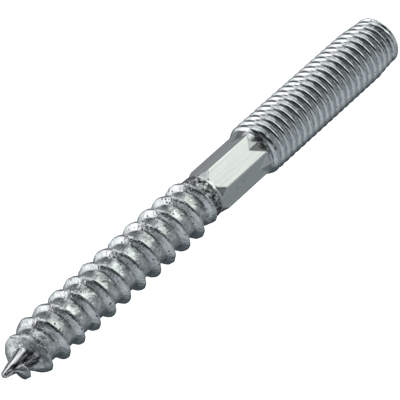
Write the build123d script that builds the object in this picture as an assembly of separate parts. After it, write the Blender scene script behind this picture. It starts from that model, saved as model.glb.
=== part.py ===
"""Double-ended screw: wood thread, hexagonal drive section and machine stud in one piece.

The screw stands on its flat machine end with its point up, and Z = 0 is the floor.
It is drawn along +X from its point and then stood up, so places along it are measured from the
point. Turns run right-handed from +Y.
"""
import math
import os

from build123d import *

# Whole screw, millimetres
overall_length = 80.0

# Machine stud, at the outside of its fine thread
stud_diameter = 8.0
stud_start = 51.3
stud_taper_length = 4.4
stud_end_diameter = 7.0
end_chamfer = 0.5

# Hexagonal drive section, its corners sloped off towards the neck and its flats ramped up to the stud
hex_across_flats = 6.0
hex_start = 40.75
hex_slope_length = 1.2
hex_end = 48.47
hex_ramp_length = 2.18
hex_corner_turn_degrees = 30.0

# Neck between the wood thread and the hexagon, and the hidden core of the hexagon
neck_diameter = 6.3
neck_start = 36.4
neck_cone_length = 1.2
neck_end = 40.2
neck_end_cone_length = 0.8
hex_core_diameter = 5.9

# Wood thread
wood_pitch = 3.0
wood_crest_diameter_at_drive = 7.52
wood_crest_diameter_at_point = 6.92
wood_core_diameter = 5.8
wood_crest_width = 0.28
wood_foot_width = 2.0
wood_foot_depth = 0.35
wood_thread_start = 2.24
wood_thread_end = 40.0
wood_start_turn_share = 0.539

# Gimlet point
nose_radius = 0.42
point_length = 9.0

# Wood thread rising from the point, by turns: shares of its full crest radius and foot width
rise_turns = (0.0, 0.12, 0.24, 0.74, 1.24, 1.74)
rise_crest_shares = (0.18, 0.46, 0.62, 0.84, 0.97, 1.0)
rise_foot_shares = (0.6, 0.6, 0.65, 0.8, 0.9, 1.0)

# Wood thread running out at the neck
fade_turns = 0.85
fade_crest_share = 0.83

# Lengths that each turn of the thread is built in, and points along one length
lengths_per_turn = 2
points_per_length = 12

stud_radius = stud_diameter / 2
stud_end_radius = stud_end_diameter / 2
hex_flat_radius = hex_across_flats / 2
hex_corner_radius = hex_flat_radius / math.cos(math.pi / 6)
neck_radius = neck_diameter / 2
hex_core_radius = hex_core_diameter / 2
wood_core_radius = wood_core_diameter / 2
wood_turns = (wood_thread_end - wood_thread_start) / wood_pitch


def level_at(value, places, levels):
    """Level at a place along a broken line, held level past both ends."""
    if value <= places[0]:
        return levels[0]
    for place, next_place, level, next_level in zip(places, places[1:], levels, levels[1:]):
        if value <= next_place:
            share = (value - place) / (next_place - place)
            return level + share * (next_level - level)
    return levels[-1]


def on_screw(x, radius, turns):
    """Point at a distance from the axis, turned right-handed from +Y towards +Z."""
    angle = 2 * math.pi * turns
    return Vector(x, radius * math.cos(angle), radius * math.sin(angle))


def shank():
    """Turned body from the nose to the flat end, with no thread or hexagon on it."""
    nose = RadiusArc((0, 0), (nose_radius, nose_radius), nose_radius)
    side = Polyline(
        (nose_radius, nose_radius),
        (point_length, wood_core_radius),
        (neck_start, wood_core_radius),
        (neck_start + neck_cone_length, neck_radius),
        (neck_end, neck_radius),
        (neck_end + neck_end_cone_length, hex_core_radius),
        (hex_end, hex_core_radius),
        (hex_end + hex_ramp_length, hex_corner_radius),
        (stud_start, stud_radius),
        (overall_length - stud_taper_length, stud_radius),
        (overall_length - end_chamfer, stud_end_radius),
        (overall_length, stud_end_radius - end_chamfer),
        (overall_length, 0),
        (0, 0),
    )
    return revolve(make_face([nose, *side.edges()]), Axis.X)


def hexagon_at(x, flat_radius, corner_turn):
    """Hexagon across the screw at a place along it."""
    return Plane.YZ.offset(x) * Rot(0, 0, corner_turn) * RegularPolygon(flat_radius, 6, major_radius=False)


def hex_drive():
    """Hexagonal length, with six flat slopes that take its corners down to the neck."""
    length = stud_start - hex_start
    slope_degrees = math.degrees(math.atan((hex_corner_radius - hex_flat_radius) / hex_slope_length))
    slope_turn = hex_corner_turn_degrees + math.degrees(math.pi / 6)
    bar = extrude(hexagon_at(hex_start, hex_flat_radius, hex_corner_turn_degrees), length)
    slopes = extrude(hexagon_at(hex_start, hex_flat_radius, slope_turn), length, taper=-slope_degrees)
    return bar & slopes


def wood_section(turns):
    """Corners of the wood thread's ridge some turns from its start: offset along the screw, and radius."""
    x = wood_thread_start + wood_pitch * turns
    full_crest = level_at(
        x,
        (point_length, wood_thread_end),
        (wood_crest_diameter_at_point / 2, wood_crest_diameter_at_drive / 2),
    )
    rise = level_at(turns, rise_turns, rise_crest_shares)
    fade = level_at(turns, (wood_turns - fade_turns, wood_turns), (1, fade_crest_share))
    crest = full_crest * rise * fade
    core = level_at(x, (nose_radius, point_length), (nose_radius, wood_core_radius))
    foot = max(min(core, crest) - wood_foot_depth, nose_radius / 2)
    half_foot = wood_foot_width / 2 * level_at(turns, rise_turns, rise_foot_shares)
    half_crest = wood_crest_width / 2
    return (-half_foot, foot), (-half_crest, crest), (half_crest, crest), (half_foot, foot)


def wood_corners(turns):
    """The same four corners, placed on the screw."""
    x = wood_thread_start + wood_pitch * turns
    turned = wood_start_turn_share + turns
    return [on_screw(x + offset, radius, turned) for offset, radius in wood_section(turns)]


def wood_ridge():
    """Wood thread: its four-cornered section carried along a right-hand helix, a half turn at a time."""
    length_count = math.ceil(wood_turns * lengths_per_turn)
    step = wood_turns / length_count / points_per_length
    faces = []
    for length in range(length_count):
        first = length * points_per_length
        stations = [step * (first + i) for i in range(points_per_length + 1)]
        sections = [wood_corners(turns) for turns in stations]
        rails = [Edge.make_spline([corners[i] for corners in sections], parameters=stations) for i in range(4)]
        faces += [Face.make_surface_from_curves(rails[(i + 1) % 4], rails[i]) for i in range(4)]
    for turns in (0, wood_turns):
        faces.append(Face(Wire.make_polygon(wood_corners(turns), close=True)))
    return Solid(Shell(faces))


def hanger_bolt():
    """Whole screw, stood on its flat end over the origin."""
    screw = shank() + hex_drive() + wood_ridge()
    return Pos(0, 0, overall_length) * Rot(0, 90, 0) * screw


os.makedirs("parts", exist_ok=True)
export_step(hanger_bolt(), "parts/hanger_bolt.step")
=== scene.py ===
"""Zinc-plated double-ended screw: wood thread, hexagon and machine thread, stood on its flat end."""
import math

import bmesh
import bpy
import numpy as np
from mathutils import Matrix, Vector, noise


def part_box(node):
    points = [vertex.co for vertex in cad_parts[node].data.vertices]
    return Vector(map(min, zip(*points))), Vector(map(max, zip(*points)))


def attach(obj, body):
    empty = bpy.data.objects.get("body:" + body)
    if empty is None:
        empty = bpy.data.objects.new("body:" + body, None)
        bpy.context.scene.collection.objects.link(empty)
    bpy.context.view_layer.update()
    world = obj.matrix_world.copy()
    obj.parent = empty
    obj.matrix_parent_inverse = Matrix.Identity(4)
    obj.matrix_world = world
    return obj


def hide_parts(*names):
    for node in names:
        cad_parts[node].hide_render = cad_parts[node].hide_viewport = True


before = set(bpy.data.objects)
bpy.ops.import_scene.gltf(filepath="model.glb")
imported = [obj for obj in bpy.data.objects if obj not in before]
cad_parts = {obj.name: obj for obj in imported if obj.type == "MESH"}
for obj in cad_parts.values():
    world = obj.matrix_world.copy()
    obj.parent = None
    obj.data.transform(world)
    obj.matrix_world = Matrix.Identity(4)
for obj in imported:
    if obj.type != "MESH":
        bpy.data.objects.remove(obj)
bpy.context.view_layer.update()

# Whole screw, in millimetres from its point
MM = 0.001
low_corner, high_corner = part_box("hanger_bolt")
overall_length = (high_corner[2] - low_corner[2]) / MM
stud_radius = (high_corner[0] - low_corner[0]) / 2 / MM

# Turned body under the wood thread
nose_radius = 0.48
nose_start = 0.25
cone_end = 5.2
cone_end_radius = 1.68
step_end = 6.0
step_radius = 2.52
point_length = 9.0
core_radius = 2.76
neck_start = 37.4
neck_slope_length = 0.8
neck_radius = 3.15
neck_end = 40.2

# Pressed hexagon, its corners sloped off towards the neck, its flats ramped up to the stud's shoulder
hex_sides = 6
hex_flat_radius = 3.0
hex_core_radius = 2.95
hex_core_start = 41.0
hex_start = 40.75
hex_slope_length = 1.2
ramp_start = 48.68
ramp_length = 1.97
shoulder_length = 1.2
shoulder_shift = 0.3
shoulder_round = 0.08

# Stud's end
stud_taper_start = 75.6
stud_taper_end = 79.2
stud_end_radius = 3.62
rim_round = 0.16

# Where the finishes end: places along the screw and heights over its body
point_finish_end = 5.8
point_finish_height = 0.2
# Painted shade on the point's underside: where it starts along the screw, and how high up its side it
# reaches as a share of the radius
point_shade_start = 1.4
point_shade_edge_share = 0.08
scale_start = 38.35
scale_height = 0.12
pressed_lead = 0.4

# Wood thread
wood_pitch = 3.0
wood_start = 2.24
wood_start_turn = 0.539
wood_end = 40.0
wood_crest_at_point = 3.54
wood_crest_at_drive = 3.78
wood_half_crest = 0.14
wood_land_slope = 0.25
wood_half_foot = 0.64
wood_fillet = 0.05
wood_crest_round = 0.05
wood_hollow = 0.26
wood_hollow_fade = 1.0
rise_turns = (0.0, 0.12, 0.24, 0.74, 1.24, 1.74, 2.24, 2.74)
rise_shares = (0.2, 0.48, 0.64, 0.86, 0.97, 1.02, 1.04, 1.0)
foot_turns = (0.0, 0.25, 0.5, 0.74, 1.14, 1.2, 1.31, 1.45, 1.7, 2.0)
tip_foot_shares = (1.5, 1.3, 1.0, 0.75, 0.48, 1.6, 4.0, 4.6, 2.0, 1.0)
drive_foot_shares = (1.7, 1.6, 1.2, 1.0, 1.0, 1.0, 1.0, 1.0, 1.0, 1.0)
land_shares = (3.0, 2.6, 1.4, 1.0, 1.0, 1.0, 1.0, 1.0, 1.0, 1.0)
wood_turns = (wood_end - wood_start) / wood_pitch
fade_turns = 0.85
fade_share = 0.82

# Machine thread
machine_pitch = 1.25
machine_crest_at_zero = 54.79
machine_start = 50.5
machine_run_in = 0.5
machine_tip_land = 0.23
machine_drive_land = 0.17
machine_tip_slope = 0.58
machine_drive_slope = 0.18
machine_crest_round = 0.03
machine_depth = 0.7
machine_flank_drop = 1.732
machine_last_groove = 79.7
machine_run_out = 0.4

# Lumps that thread rolling leaves on the wood thread: height and size
lump_height = 0.07
lump_size = 1.2
ripple_height = 0.032
ripple_size = 0.45
lump_start = 3.4
lump_end = 40.4
lump_fade = 1.6

# Mesh grid: columns round the screw, and rows as shares of a pitch
columns_per_side = 22
spare_turns = 2
corner_bevel_degrees = 1.1
wood_row_shares = (
    -0.43, -0.37, -0.315, -0.26, -0.225, -0.205, -0.16, -0.11, -0.06, -0.04,
    0.04, 0.06, 0.11, 0.16, 0.205, 0.225, 0.26, 0.315, 0.37, 0.43, 0.5,
)
machine_row_shares = (
    -0.47, -0.445, -0.42, -0.31, -0.2, -0.17, -0.09, -0.02,
    0.02, 0.06, 0.105, 0.135, 0.29, 0.445,
)
slope_row_step = 0.09
flat_row_step = 0.8
slope_rows_end = 42.4
ramp_rows_start = 48.5
rim_steps = 7
end_rings = (2.0, 1.0, 0.0)
weld_distance = 0.0008
sharp_degrees = 40.0

# Photograph's frame, pixels, and the screw's place in it
picture_size = 400
focal_pixels = 2734.1
sensor_width = 36.0
camera_distance = 354.065
aimed_place = 39.059
aimed_pixel = (196.851, 202.124)
view_tilt = math.radians(35.287)
view_slant = math.radians(41.924)
upper_turn = math.radians(99.0)
front_turn = math.radians(189.0)
camera_near_limit = 10.0

# White floor: half its width in metres, and how much it glows
floor_half_width = 3.0
floor_glow = 0.93

# Sockets of a colour Mix node: the colour below, the colour laid over it, and the result
below_socket = 6
over_socket = 7
mixed_socket = 2

# The screw's own directions: along it from its point, its upper side in the picture, and its front
length_way = Vector((0, 0, -1))
upper_way = Vector((math.sin(upper_turn), math.cos(upper_turn), 0))
front_way = Vector((math.sin(front_turn), math.cos(front_turn), 0))


def smooth_max(a, b, width):
    """Larger of two radii, with a fillet where they cross."""
    share = np.clip(0.5 + 0.5 * (a - b) / width, 0, 1)
    return b + (a - b) * share + width * share * (1 - share)


def smooth_min(a, b, width):
    """Smaller of two radii, with a rounding where they cross."""
    return -smooth_max(-a, -b, width)


def shank_radius(x):
    """Turned body under the wood thread, from the nose to the hexagon's core."""
    nose_middle = nose_start + nose_radius
    point_places = (nose_middle, cone_end, step_end, point_length)
    point_radii = (nose_radius, cone_end_radius, step_radius, core_radius)
    neck_places = (neck_start, neck_start + neck_slope_length, neck_end, hex_core_start)
    neck_radii = (core_radius, neck_radius, neck_radius, hex_core_radius)
    shank = np.interp(x, point_places + neck_places, point_radii + neck_radii)
    nose = np.sqrt(np.clip(nose_radius ** 2 - (x - nose_middle) ** 2, 0, None))
    return np.where(x < nose_middle, nose, shank)


def tapered_stud_radius(x):
    """Outside of the stud's thread, tapered at the flat end."""
    return np.interp(x, (stud_taper_start, stud_taper_end), (stud_radius, stud_end_radius))


def from_flat(turn):
    """Angle from the middle of the nearest flat of the hexagon."""
    side = 2 * math.pi / hex_sides
    return (2 * math.pi * turn + side / 2) % side - side / 2


def stud_outline(x, turn):
    """Ramp out of the hexagon's flats, the shoulder and the stud, at the outside of its thread."""
    half_side = hex_flat_radius * math.tan(math.pi / hex_sides)
    corner_radius = math.hypot(hex_flat_radius, half_side)
    angle = np.abs(from_flat(turn))
    rise = corner_radius - hex_flat_radius
    up_ramp = hex_flat_radius + rise * (x - ramp_start) / ramp_length
    ramp = up_ramp / (np.cos(angle) + rise / half_side * np.sin(angle))
    shifted = x + shoulder_shift * np.cos(2 * math.pi * turn - upper_turn)
    up_shoulder = (shifted - ramp_start - ramp_length) / shoulder_length
    shoulder = corner_radius + (stud_radius - corner_radius) * up_shoulder
    return smooth_min(np.maximum(ramp, shoulder), tapered_stud_radius(x), shoulder_round)


def body_radius(x, turn):
    """Body of the screw, with no thread or hexagon on it."""
    return np.where(x > ramp_start - shoulder_length, stud_outline(x, turn), shank_radius(x))


def crest_radius(turns):
    """Radius of the wood thread's crest, rising from the point and fading at the neck."""
    place = wood_start + wood_pitch * turns
    crest = np.interp(place, (point_length, wood_end), (wood_crest_at_point, wood_crest_at_drive))
    crest = crest * np.interp(turns, rise_turns, rise_shares)
    return crest * np.interp(turns, (wood_turns - fade_turns, wood_turns), (1.0, fade_share))


def wood_side(x, turns, body, foot):
    """One side of the wood thread's ridge: its sloped land, its flank and the fillet at its foot."""
    offset = x - wood_start - wood_pitch * turns
    crest = crest_radius(turns)
    half_land = wood_half_crest * np.interp(turns, foot_turns, land_shares)
    land = crest + wood_land_slope * np.clip(offset, -half_land, half_land)
    flank = land - (land - body) * (np.abs(offset) - half_land) / (foot - half_land)
    ridge = smooth_max(smooth_min(land, flank, wood_crest_round), body, wood_fillet)
    there = (turns >= 0) & (turns <= wood_turns) & (crest > body)
    return np.where(there, np.maximum(ridge, body), body)


def wood_thread_radius(x, turn, body):
    """Wood thread over its hollow root: drive side of the ridge behind, tip side of the ridge ahead."""
    from_start = (x - wood_start) / wood_pitch
    ahead = turn - wood_start_turn
    behind = np.floor(from_start - ahead) + ahead
    starts = np.clip((x - nose_start) / point_length, 0, 1)
    ends = np.clip((neck_start + neck_slope_length - x) / wood_hollow_fade, 0, 1)
    root = body + wood_hollow * (2 * (from_start - behind) - 1) ** 2 * starts * ends
    drive_foot = wood_half_foot * np.interp(behind, foot_turns, drive_foot_shares)
    tip_foot = wood_half_foot * np.interp(behind + 1, foot_turns, tip_foot_shares)
    return np.maximum(wood_side(x, behind, root, drive_foot), wood_side(x, behind + 1, root, tip_foot))


def hex_radius(x, turn):
    """Hexagon with its corners sloped off towards the neck."""
    corner_rise = hex_flat_radius / math.cos(math.pi / hex_sides) - hex_flat_radius
    slope = hex_flat_radius + corner_rise * np.maximum(x - hex_start, 0) / hex_slope_length
    from_corner = math.pi / hex_sides - np.abs(from_flat(turn))
    shape = np.minimum(hex_flat_radius / np.cos(from_flat(turn)), slope / np.cos(from_corner))
    return np.where((x >= hex_start) & (x <= ramp_start + ramp_length), shape, 0.0)


def machine_thread_radius(x, turn):
    """Machine thread between its crests and its roots."""
    along = (x - machine_crest_at_zero) / machine_pitch - turn
    offset = (along - np.round(along)) * machine_pitch
    tip_half = machine_tip_slope * np.clip(-offset, 0, machine_tip_land)
    land = tip_half + machine_drive_slope * np.clip(offset, 0, machine_drive_land)
    past_land = np.maximum(-offset - machine_tip_land, offset - machine_drive_land)
    flank = land + past_land * machine_flank_drop
    depth = np.minimum(smooth_max(flank, land, machine_crest_round), machine_depth)
    starts = np.clip((x - machine_start) / machine_run_in, 0, 1)
    ends = np.clip((machine_last_groove - x) / machine_run_out, 0, 1)
    return tapered_stud_radius(x) - depth * starts * ends


def screw_radius(x, turn):
    """Outside of the screw at a place and turn."""
    body = body_radius(x, turn)
    threaded = np.where(x < wood_end + wood_pitch, wood_thread_radius(x, turn, body), body)
    outside = np.maximum(threaded, hex_radius(x, turn))
    return np.where(x > machine_start, np.minimum(outside, machine_thread_radius(x, turn)), outside)


def column_turns():
    """Turns of the mesh's columns, crowded into a small bevel at the hexagon's corners."""
    side_degrees = 360.0 / hex_sides
    step = side_degrees / columns_per_side
    half = columns_per_side // 2
    inner = [step * i for i in range(columns_per_side)]
    inner[half] = side_degrees / 2 + corner_bevel_degrees
    inner.insert(half, side_degrees / 2 - corner_bevel_degrees)
    degrees = [side_degrees * side + angle for side in range(hex_sides) for angle in inner]
    return np.array(degrees + [360.0]) / 360.0


def helix_rows(turns, shares, pitch, crest_at_zero, first, last):
    """Rows of mesh points that run with a thread, cut off at both ends of its length."""
    first_turn = int((first - crest_at_zero) / pitch) - spare_turns
    last_turn = int((last - crest_at_zero) / pitch) + spare_turns
    row_turns = [turn + share for turn in range(first_turn, last_turn) for share in shares]
    starts = crest_at_zero + pitch * np.array(row_turns)
    places = starts[:, None] + pitch * turns[None, :]
    places = places[(places.max(axis=1) > first) & (places.min(axis=1) < last)]
    places = np.clip(places, first, last)
    ends = np.ones((1, turns.size))
    return np.concatenate([first * ends, places, last * ends])


def ring_rows(turns, values):
    """Rows of mesh points straight round the screw."""
    return np.array(values)[:, None] * np.ones((1, turns.size))


def hexagon_rows():
    """Places of the rows along the hexagon, close together where its ends slope."""
    return np.concatenate([
        np.arange(wood_end, slope_rows_end, slope_row_step),
        np.arange(slope_rows_end, ramp_rows_start, flat_row_step),
        np.arange(ramp_rows_start, machine_start, slope_row_step),
        [machine_start],
    ])


def screw_grid(turns):
    """Places and radii of every mesh point, row by row from the point to the flat end."""
    wood_zero = wood_start - wood_pitch * wood_start_turn
    rim_place = overall_length - rim_round
    side = np.concatenate([
        helix_rows(turns, wood_row_shares, wood_pitch, wood_zero, nose_start, wood_end),
        ring_rows(turns, hexagon_rows()),
        helix_rows(
            turns, machine_row_shares, machine_pitch, machine_crest_at_zero, machine_start, rim_place,
        ),
    ])
    side_radii = screw_radius(side, np.broadcast_to(turns, side.shape))
    quarter = np.linspace(0, math.pi / 2, rim_steps)[1:]
    rim = rim_place + rim_round * np.sin(quarter)
    rim_radii = stud_end_radius - rim_round + rim_round * np.cos(quarter)
    end = np.concatenate([rim, np.full(len(end_rings), overall_length)])
    end_radii = np.concatenate([rim_radii, end_rings])
    places = np.concatenate([side, ring_rows(turns, end)])
    radii = np.concatenate([side_radii, ring_rows(turns, end_radii)])
    return places, radii


def rolled_lumps(x, turn, radius):
    """Unevenness of the rolled wood thread at a mesh point."""
    angle = 2 * math.pi * turn
    spot = Vector((x, radius * math.cos(angle), radius * math.sin(angle)))
    lumps = noise.noise(spot / lump_size) * lump_height
    ripples = noise.noise(spot / ripple_size) * ripple_height
    starts = np.clip((x - lump_start) / lump_fade, 0, 1)
    ends = np.clip((lump_end - x) / lump_fade, 0, 1)
    return (lumps + ripples) * starts * ends


def screw_points(turns):
    """Mesh points of the screw, stood on its flat end."""
    places, radii = screw_grid(turns)
    points = []
    for row_places, row_radii in zip(places, radii):
        for x, radius, turn in zip(row_places, row_radii, turns % 1.0):
            if lump_start < x < lump_end:
                radius = radius + rolled_lumps(x, turn, radius)
            angle = 2 * math.pi * turn
            points.append((radius * math.sin(angle), radius * math.cos(angle), overall_length - x))
    return [Vector(point) * MM for point in points], places.shape


def screw_mesh():
    """Whole screw as one closed skin."""
    points, (rows, columns) = screw_points(column_turns())
    corners = [row * columns + column for row in range(rows - 1) for column in range(columns - 1)]
    quads = [(a, a + 1, a + columns + 1, a + columns) for a in corners]
    mesh = bpy.data.meshes.new("hanger_bolt_skin")
    mesh.from_pydata(points, [], quads)
    work = bmesh.new()
    work.from_mesh(mesh)
    bmesh.ops.remove_doubles(work, verts=work.verts, dist=weld_distance * MM)
    bmesh.ops.dissolve_degenerate(work, dist=weld_distance / 2 * MM, edges=work.edges)
    bmesh.ops.recalc_face_normals(work, faces=work.faces)
    work.to_mesh(mesh)
    work.free()
    return mesh


def node(tree, kind, **values):
    """Shader node with its settings and input values."""
    made = tree.nodes.new(kind)
    for name, value in values.items():
        socket = name.replace("_", " ")
        if socket in made.inputs:
            made.inputs[socket].default_value = value
        else:
            setattr(made, name, value)
    return made


def new_group(name, inputs, outputs):
    """Shader node group with named sockets, and the two nodes that hold them."""
    group = bpy.data.node_groups.new(name, "ShaderNodeTree")
    for socket, kind, value in inputs:
        made = group.interface.new_socket(socket, in_out="INPUT", socket_type=kind)
        made.default_value = value
    for socket, kind in outputs:
        group.interface.new_socket(socket, in_out="OUTPUT", socket_type=kind)
    return group, group.nodes.new("NodeGroupInput"), group.nodes.new("NodeGroupOutput")


def stretched_place(group, entry):
    """Place on the screw, squeezed along its length by the group's Stretch."""
    place = node(group, "ShaderNodeTexCoord")
    squeeze = node(group, "ShaderNodeCombineXYZ", X=1.0, Y=1.0)
    squeezed = node(group, "ShaderNodeVectorMath", operation="MULTIPLY")
    group.links.new(entry.outputs["Stretch"], squeeze.inputs["Z"])
    group.links.new(place.outputs["Object"], squeezed.inputs[0])
    group.links.new(squeeze.outputs["Vector"], squeezed.inputs[1])
    return squeezed.outputs["Vector"]


def plating_clouds_group():
    """Cloudy tone and gloss of the zinc."""
    group, entry, leave = new_group(
        "plating_clouds",
        [("Scale", "NodeSocketFloat", 900.0), ("Stretch", "NodeSocketFloat", 1.0),
         ("Dull Tone", "NodeSocketColor", (0.6, 0.6, 0.6, 1)),
         ("Bright Tone", "NodeSocketColor", (0.8, 0.8, 0.8, 1)),
         ("Dull Roughness", "NodeSocketFloat", 0.35), ("Bright Roughness", "NodeSocketFloat", 0.2)],
        [("Color", "NodeSocketColor"), ("Roughness", "NodeSocketFloat")],
    )
    cloud = node(group, "ShaderNodeTexNoise", Detail=4.0, Roughness=0.6)
    spread = node(group, "ShaderNodeMapRange", From_Min=0.35, From_Max=0.65)
    tone = node(group, "ShaderNodeMix", data_type="RGBA")
    gloss = node(group, "ShaderNodeMapRange")
    group.links.new(stretched_place(group, entry), cloud.inputs["Vector"])
    group.links.new(entry.outputs["Scale"], cloud.inputs["Scale"])
    group.links.new(cloud.outputs["Fac"], spread.inputs["Value"])
    group.links.new(spread.outputs["Result"], tone.inputs["Factor"])
    group.links.new(entry.outputs["Dull Tone"], tone.inputs[below_socket])
    group.links.new(entry.outputs["Bright Tone"], tone.inputs[over_socket])
    group.links.new(spread.outputs["Result"], gloss.inputs["Value"])
    group.links.new(entry.outputs["Dull Roughness"], gloss.inputs["To Min"])
    group.links.new(entry.outputs["Bright Roughness"], gloss.inputs["To Max"])
    group.links.new(tone.outputs[mixed_socket], leave.inputs["Color"])
    group.links.new(gloss.outputs["Result"], leave.inputs["Roughness"])
    return group


def dark_specks_group():
    """Scattered dark pits in the plating: a mask, one in each pit."""
    group, entry, leave = new_group(
        "dark_specks",
        [("Scale", "NodeSocketFloat", 900.0), ("Stretch", "NodeSocketFloat", 1.0),
         ("Size", "NodeSocketFloat", 0.15), ("Share", "NodeSocketFloat", 0.1)],
        [("Mask", "NodeSocketFloat")],
    )
    cells = node(group, "ShaderNodeTexVoronoi")
    pit = node(group, "ShaderNodeMapRange", To_Min=1.0, To_Max=0.0, interpolation_type="SMOOTHSTEP")
    chance = node(group, "ShaderNodeSeparateColor")
    chosen = node(group, "ShaderNodeMath", operation="LESS_THAN")
    mask = node(group, "ShaderNodeMath", operation="MULTIPLY")
    group.links.new(stretched_place(group, entry), cells.inputs["Vector"])
    group.links.new(entry.outputs["Scale"], cells.inputs["Scale"])
    group.links.new(cells.outputs["Distance"], pit.inputs["Value"])
    group.links.new(entry.outputs["Size"], pit.inputs["From Max"])
    group.links.new(cells.outputs["Color"], chance.inputs["Color"])
    group.links.new(chance.outputs["Red"], chosen.inputs[0])
    group.links.new(entry.outputs["Share"], chosen.inputs[1])
    group.links.new(pit.outputs["Result"], mask.inputs[0])
    group.links.new(chosen.outputs["Value"], mask.inputs[1])
    group.links.new(mask.outputs["Value"], leave.inputs["Mask"])
    return group


def metal_grain_group():
    """Coarse and fine unevenness of the metal's skin: a height."""
    group, entry, leave = new_group(
        "metal_grain",
        [("Scale", "NodeSocketFloat", 2500.0), ("Stretch", "NodeSocketFloat", 1.0)],
        [("Height", "NodeSocketFloat")],
    )
    grain = node(group, "ShaderNodeTexNoise", Detail=5.0, Roughness=0.55)
    group.links.new(stretched_place(group, entry), grain.inputs["Vector"])
    group.links.new(entry.outputs["Scale"], grain.inputs["Scale"])
    group.links.new(grain.outputs["Fac"], leave.inputs["Height"])
    return group


def groove_painted_shade_group():
    """Painted shade in the bottom of a groove round the screw's axis, darker where the radius is smaller: a
    broken mask.
    """
    group, entry, leave = new_group(
        "groove_painted_shade",
        [("Clean Radius", "NodeSocketFloat", 1.0), ("Dirty Radius", "NodeSocketFloat", 0.9),
         ("Scale", "NodeSocketFloat", 900.0)],
        [("Mask", "NodeSocketFloat")],
    )
    place = node(group, "ShaderNodeTexCoord")
    across = node(group, "ShaderNodeVectorMath", operation="MULTIPLY")
    across.inputs[1].default_value = (1, 1, 0)
    radius = node(group, "ShaderNodeVectorMath", operation="LENGTH")
    depth = node(group, "ShaderNodeMapRange", To_Min=0.0, To_Max=1.0, interpolation_type="SMOOTHSTEP")
    patches = node(group, "ShaderNodeTexNoise", Detail=3.0)
    spread = node(group, "ShaderNodeMapRange", From_Min=0.35, From_Max=0.6)
    mask = node(group, "ShaderNodeMath", operation="MULTIPLY")
    group.links.new(place.outputs["Object"], across.inputs[0])
    group.links.new(across.outputs["Vector"], radius.inputs[0])
    group.links.new(radius.outputs["Value"], depth.inputs["Value"])
    group.links.new(entry.outputs["Clean Radius"], depth.inputs["From Min"])
    group.links.new(entry.outputs["Dirty Radius"], depth.inputs["From Max"])
    group.links.new(place.outputs["Object"], patches.inputs["Vector"])
    group.links.new(entry.outputs["Scale"], patches.inputs["Scale"])
    group.links.new(patches.outputs["Fac"], spread.inputs["Value"])
    group.links.new(depth.outputs["Result"], mask.inputs[0])
    group.links.new(spread.outputs["Result"], mask.inputs[1])
    group.links.new(mask.outputs["Value"], leave.inputs["Mask"])
    return group


clouds = plating_clouds_group()
specks = dark_specks_group()
grain = metal_grain_group()
# Painted shade for the bottoms of the thread grooves
groove_shade = groove_painted_shade_group()


def placed_group(tree, group, **values):
    """Shared effect, with a material's own values."""
    made = tree.nodes.new("ShaderNodeGroup")
    made.node_tree = group
    for name, value in values.items():
        made.inputs[name.replace("_", " ")].default_value = value
    return made


def zinc(name, tones, roughness, cloud, speck, speck_tone, skin, skin_height):
    """Zinc plate: cloud and skin have a scale and stretch, specks a scale, stretch, size and share."""
    material = bpy.data.materials.new(name)
    material.use_nodes = True
    tree = material.node_tree
    shader = tree.nodes["Principled BSDF"]
    shader.inputs["Metallic"].default_value = 1.0
    dull, bright = tones
    clouded = placed_group(
        tree, clouds, Scale=cloud[0], Stretch=cloud[1], Dull_Tone=(*dull, 1), Bright_Tone=(*bright, 1),
        Dull_Roughness=roughness[0], Bright_Roughness=roughness[1],
    )
    specked = placed_group(tree, specks, Scale=speck[0], Stretch=speck[1], Size=speck[2], Share=speck[3])
    grained = placed_group(tree, grain, Scale=skin[0], Stretch=skin[1])
    colour = node(tree, "ShaderNodeMix", data_type="RGBA")
    colour.inputs[over_socket].default_value = (*speck_tone, 1)
    sunk = node(tree, "ShaderNodeMath", operation="SUBTRACT")
    bump = node(tree, "ShaderNodeBump", Strength=1.0, Distance=skin_height * MM)
    tree.links.new(specked.outputs["Mask"], colour.inputs["Factor"])
    tree.links.new(clouded.outputs["Color"], colour.inputs[below_socket])
    tree.links.new(colour.outputs[mixed_socket], shader.inputs["Base Color"])
    tree.links.new(clouded.outputs["Roughness"], shader.inputs["Roughness"])
    tree.links.new(grained.outputs["Height"], sunk.inputs[0])
    tree.links.new(specked.outputs["Mask"], sunk.inputs[1])
    tree.links.new(sunk.outputs["Value"], bump.inputs["Height"])
    tree.links.new(bump.outputs["Normal"], shader.inputs["Normal"])
    return material


def shade_groove_bottoms(material, unshaded_radius, shaded_radius, scale, tone):
    """Painted shade, a dark tone, laid over a finish in the bottom of its grooves."""
    tree = material.node_tree
    shader = tree.nodes["Principled BSDF"]
    plated = shader.inputs["Base Color"].links[0].from_socket
    groove_shading = placed_group(
        tree, groove_shade, Scale=scale,
        Clean_Radius=unshaded_radius * MM, Dirty_Radius=shaded_radius * MM,
    )
    # Painted shade: the dark tone mixed in by groove depth
    colour = node(tree, "ShaderNodeMix", data_type="RGBA")
    colour.inputs[over_socket].default_value = (*tone, 1)
    tree.links.new(groove_shading.outputs["Mask"], colour.inputs["Factor"])
    tree.links.new(plated, colour.inputs[below_socket])
    tree.links.new(colour.outputs[mixed_socket], shader.inputs["Base Color"])
    return material


def rolled_zinc():
    """Wood thread: satin and lumpy, with painted shade in its hollow roots."""
    finish = zinc(
        "rolled_zinc", tones=((0.63, 0.655, 0.665), (0.9, 0.93, 0.935)), roughness=(0.22, 0.11),
        cloud=(700.0, 0.6), speck=(2300.0, 0.7, 0.36, 0.24), speck_tone=(0.08, 0.084, 0.086),
        skin=(2300.0, 0.8), skin_height=0.085,
    )
    # Painted shade darkens the bottom of the wood thread's hollow roots
    return shade_groove_bottoms(finish, unshaded_radius=3.1, shaded_radius=2.85, scale=1500.0, tone=(0.48, 0.5, 0.5))


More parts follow.
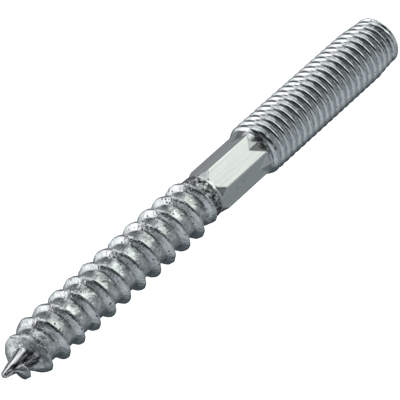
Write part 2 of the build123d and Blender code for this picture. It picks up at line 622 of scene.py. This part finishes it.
def polished_point():
    """Gimlet point: nearly a mirror."""
    return zinc(
        "polished_point", tones=((0.8, 0.81, 0.83), (0.9, 0.91, 0.92)), roughness=(0.16, 0.08),
        cloud=(900.0, 0.2), speck=(1800.0, 0.3, 0.2, 0.06), speck_tone=(0.4, 0.4, 0.42),
        skin=(1500.0, 0.12), skin_height=0.012,
    )


def shaded_underside_point():
    """Underside of the gimlet point: the same polish, with painted shade over it as near-black clouds and
    specks along it.
    """
    return zinc(
        "shaded_underside_point", tones=((0.005, 0.005, 0.005), (0.9, 0.91, 0.92)), roughness=(0.16, 0.08),
        cloud=(1300.0, 0.5), speck=(1700.0, 0.5, 0.8, 0.6), speck_tone=(0.006, 0.006, 0.006),
        skin=(1500.0, 0.4), skin_height=0.05,
    )


def scaled_neck():
    """Neck behind the wood thread: dark and broken by forging scale."""
    return zinc(
        "scaled_neck", tones=((0.03, 0.031, 0.033), (0.78, 0.8, 0.81)), roughness=(0.3, 0.16),
        cloud=(2000.0, 1.0), speck=(1900.0, 1.0, 0.8, 0.72), speck_tone=(0.01, 0.01, 0.01),
        skin=(2200.0, 1.0), skin_height=0.2,
    )


def pressed_zinc():
    """Hexagon: flat and bright, with fine lines along it."""
    return zinc(
        "pressed_zinc", tones=((0.71, 0.73, 0.725), (0.81, 0.83, 0.82)), roughness=(0.3, 0.22),
        cloud=(3000.0, 0.05), speck=(800.0, 1.0, 0.17, 0.14), speck_tone=(0.2, 0.21, 0.21),
        skin=(6000.0, 0.05), skin_height=0.004,
    )


def threaded_zinc():
    """Machine thread: bright, with a little grain, and painted shade in the bottom of its grooves."""
    finish = zinc(
        "threaded_zinc", tones=((0.7, 0.73, 0.74), (0.87, 0.9, 0.905)), roughness=(0.16, 0.08),
        cloud=(1200.0, 1.0), speck=(2400.0, 1.0, 0.36, 0.1), speck_tone=(0.16, 0.165, 0.17),
        skin=(2200.0, 2.0), skin_height=0.022,
    )
    # Painted shade darkens the bottom of the machine thread's grooves
    return shade_groove_bottoms(finish, unshaded_radius=3.42, shaded_radius=3.32, scale=1800.0, tone=(0.3, 0.31, 0.315))


def finish_of(face):
    """Finish of a mesh face by its place on the screw."""
    x = overall_length - face.center.z / MM
    radius = math.hypot(face.center.x, face.center.y) / MM
    if x > machine_start:
        return threaded_zinc
    if x > hex_start - pressed_lead:
        return pressed_zinc
    if x > scale_start and radius < neck_radius + scale_height:
        return scaled_neck
    if x > point_finish_end or radius > shank_radius(x) + point_finish_height:
        return rolled_zinc
    # Faces on the point's underside, below the upper way, get painted shade
    underside = face.center.dot(upper_way) / MM < point_shade_edge_share * radius
    return shaded_underside_point if underside and x > point_shade_start else polished_point


def make_screw():
    """Screw in its place, with its finishes, in the CAD part's stead."""
    screw = bpy.data.objects.new("hanger_bolt_skin", screw_mesh())
    bpy.context.collection.objects.link(screw)
    finishes = (rolled_zinc, polished_point, scaled_neck, pressed_zinc, threaded_zinc, shaded_underside_point)
    for finish in finishes:
        screw.data.materials.append(finish())
    for face in screw.data.polygons:
        face.use_smooth = True
        face.material_index = finishes.index(finish_of(face))
    screw.data.set_sharp_from_angle(angle=math.radians(sharp_degrees))
    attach(screw, "root")
    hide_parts("hanger_bolt")


def make_camera():
    """Camera at the photograph's place, with its turn about the line of sight."""
    slant_cos = math.cos(view_slant)
    slant_sin = math.sin(view_slant)
    across = math.cos(view_tilt)
    length_in_view = Vector((across * slant_cos, -across * slant_sin, math.sin(view_tilt)))
    upper_in_view = Vector((-slant_sin, -slant_cos, 0.0))
    front_in_view = length_in_view.cross(upper_in_view)
    in_view = Matrix((length_in_view, upper_in_view, front_in_view)).transposed()
    in_frame = Matrix((length_way, upper_way, front_way)).transposed()
    turn = in_frame @ in_view.transposed()
    off_centre = [(pixel - picture_size / 2) / focal_pixels * camera_distance for pixel in aimed_pixel]
    axis_point = Vector((0, 0, overall_length - aimed_place))
    place = (axis_point - turn @ Vector((*off_centre, camera_distance))) * MM
    data = bpy.data.cameras.new("camera")
    data.sensor_width = sensor_width
    data.lens = focal_pixels * sensor_width / picture_size
    data.clip_start = camera_near_limit * MM
    camera = bpy.data.objects.new("camera", data)
    bpy.context.collection.objects.link(camera)
    down_and_away = Matrix(((1, 0, 0), (0, -1, 0), (0, 0, -1)))
    camera.matrix_world = Matrix.Translation(place) @ (turn @ down_and_away).to_4x4()
    bpy.context.scene.camera = camera


def make_floor():
    """Plain white floor that glows, so that it stays clean of shadow."""
    half = floor_half_width
    corners = [(-half, -half, 0), (half, -half, 0), (half, half, 0), (-half, half, 0)]
    mesh = bpy.data.meshes.new("floor")
    mesh.from_pydata(corners, [], [(0, 1, 2, 3)])
    floor = bpy.data.objects.new("floor", mesh)
    bpy.context.collection.objects.link(floor)
    material = bpy.data.materials.new("white_floor")
    material.use_nodes = True
    shader = material.node_tree.nodes["Principled BSDF"]
    shader.inputs["Base Color"].default_value = (0.9, 0.9, 0.9, 1)
    shader.inputs["Roughness"].default_value = 0.9
    shader.inputs["Emission Color"].default_value = (1, 1, 1, 1)
    shader.inputs["Emission Strength"].default_value = floor_glow
    mesh.materials.append(material)
    floor.visible_glossy = False


def direction(length, upper, front):
    """Direction in the CAD frame from its parts along the screw's own directions."""
    return (length_way * length + upper_way * upper + front_way * front).normalized()


# Studio surround: soft round areas in the order that they are painted
surround_tone = (0.255, 0.28, 0.292)
surround_areas = (
    # towards (length, upper, front), edge and softness in degrees, tone
    ((-0.05, -0.95, 0.3), 32, 10, (0.29, 0.315, 0.34)),
    ((-0.75, -0.62, 0.05), 34, 12, (0.45, 0.475, 0.505)),
    ((-0.6, 0.75, -0.3), 39, 7, (0.88, 0.9, 0.91)),
    ((-0.85, 0.5, -0.2), 26, 4, (1.4, 1.4, 1.41)),
    ((-0.97, 0.12, 0.1), 19, 5, (0.1, 0.106, 0.11)),
    ((0.578, 0.546, -0.607), 14, 6, (0.32, 0.33, 0.34)),
    ((0.578, 0.0, -0.816), 24, 8, (0.08, 0.085, 0.092)),
    ((0.2, -0.4, -0.9), 38, 10, (0.07, 0.085, 0.095)),
    ((-0.83, 0.48, 0.2), 16, 4, (0.02, 0.021, 0.022)),
    ((0.4, 0.2, 0.89), 20, 6, (0.25, 0.263, 0.268)),
    ((-0.02, 0.99, -0.05), 23, 5, (0.12, 0.127, 0.132)),
    ((0.578, -0.6, 0.55), 22, 8, (0.4, 0.425, 0.43)),
    ((-0.45, 0.1, 0.88), 34, 5, (0.025, 0.026, 0.028)),
    ((0.03, -0.1, 0.99), 18, 5, (0.025, 0.026, 0.028)),
    ((-0.02, -0.62, 0.78), 17, 4, (0.03, 0.032, 0.035)),
    ((-0.1, -0.6, 0.79), 6, 2, (0.3, 0.31, 0.315)),
    ((0.18, -0.25, 0.95), 8, 4, (0.25, 0.26, 0.262)),
    ((0.05, 0.88, 0.47), 20, 5, (1.08, 1.1, 1.11)),
    ((0.0, 0.93, 0.35), 6, 2, (0.25, 0.26, 0.27)),
    ((0.19, 0.66, 0.73), 10, 4, (0.7, 0.74, 0.72)),
    ((0.0, 0.03, 1.0), 4, 1.5, (1.1, 1.1, 1.12)),
    ((0.8, 0.59, -0.1), 13, 4, (1.1, 1.12, 1.12)),
    ((0.82, 0.05, 0.57), 15, 4, (1.3, 1.37, 1.3)),
    ((0.72, 0.42, 0.55), 21, 3, (1.38, 1.45, 1.38)),
    ((0.62, 0.1, 0.78), 11, 3, (1.3, 1.37, 1.3)),
    ((0.578, 0.252, 0.777), 6, 2, (0.9, 0.945, 0.885)),
)


def paint_area(tree, way, towards, edge, softness, tone):
    """Soft-edged round area laid over the surround's own tone, or over another area that is linked in."""
    nearness = node(tree, "ShaderNodeVectorMath", operation="DOT_PRODUCT")
    nearness.inputs[1].default_value = direction(*towards)
    mask = node(
        tree, "ShaderNodeMapRange", interpolation_type="SMOOTHSTEP",
        From_Min=math.cos(math.radians(edge + softness)),
        From_Max=math.cos(math.radians(edge - softness)),
    )
    painted = node(tree, "ShaderNodeMix", data_type="RGBA")
    painted.inputs[below_socket].default_value = (*surround_tone, 1)
    painted.inputs[over_socket].default_value = (*tone, 1)
    tree.links.new(way, nearness.inputs[0])
    tree.links.new(nearness.outputs["Value"], mask.inputs["Value"])
    tree.links.new(mask.outputs["Result"], painted.inputs["Factor"])
    return painted


def make_studio():
    """Surround that lights the screw and shows in its plating, white to the camera."""
    world = bpy.data.worlds.new("studio")
    bpy.context.scene.world = world
    world.use_nodes = True
    tree = world.node_tree
    background = tree.nodes["Background"]
    way = node(tree, "ShaderNodeTexCoord").outputs["Generated"]
    areas = [paint_area(tree, way, *area) for area in surround_areas]
    for below, over in zip(areas, areas[1:]):
        tree.links.new(below.outputs[mixed_socket], over.inputs[below_socket])
    seen = node(tree, "ShaderNodeLightPath")
    shown = node(tree, "ShaderNodeMix", data_type="RGBA")
    shown.inputs[over_socket].default_value = (1, 1, 1, 1)
    tree.links.new(seen.outputs["Is Camera Ray"], shown.inputs["Factor"])
    tree.links.new(areas[-1].outputs[mixed_socket], shown.inputs[below_socket])
    tree.links.new(shown.outputs[mixed_socket], background.inputs["Color"])
    bpy.context.scene.view_settings.view_transform = "Standard"


make_screw()
make_camera()
make_floor()
make_studio()
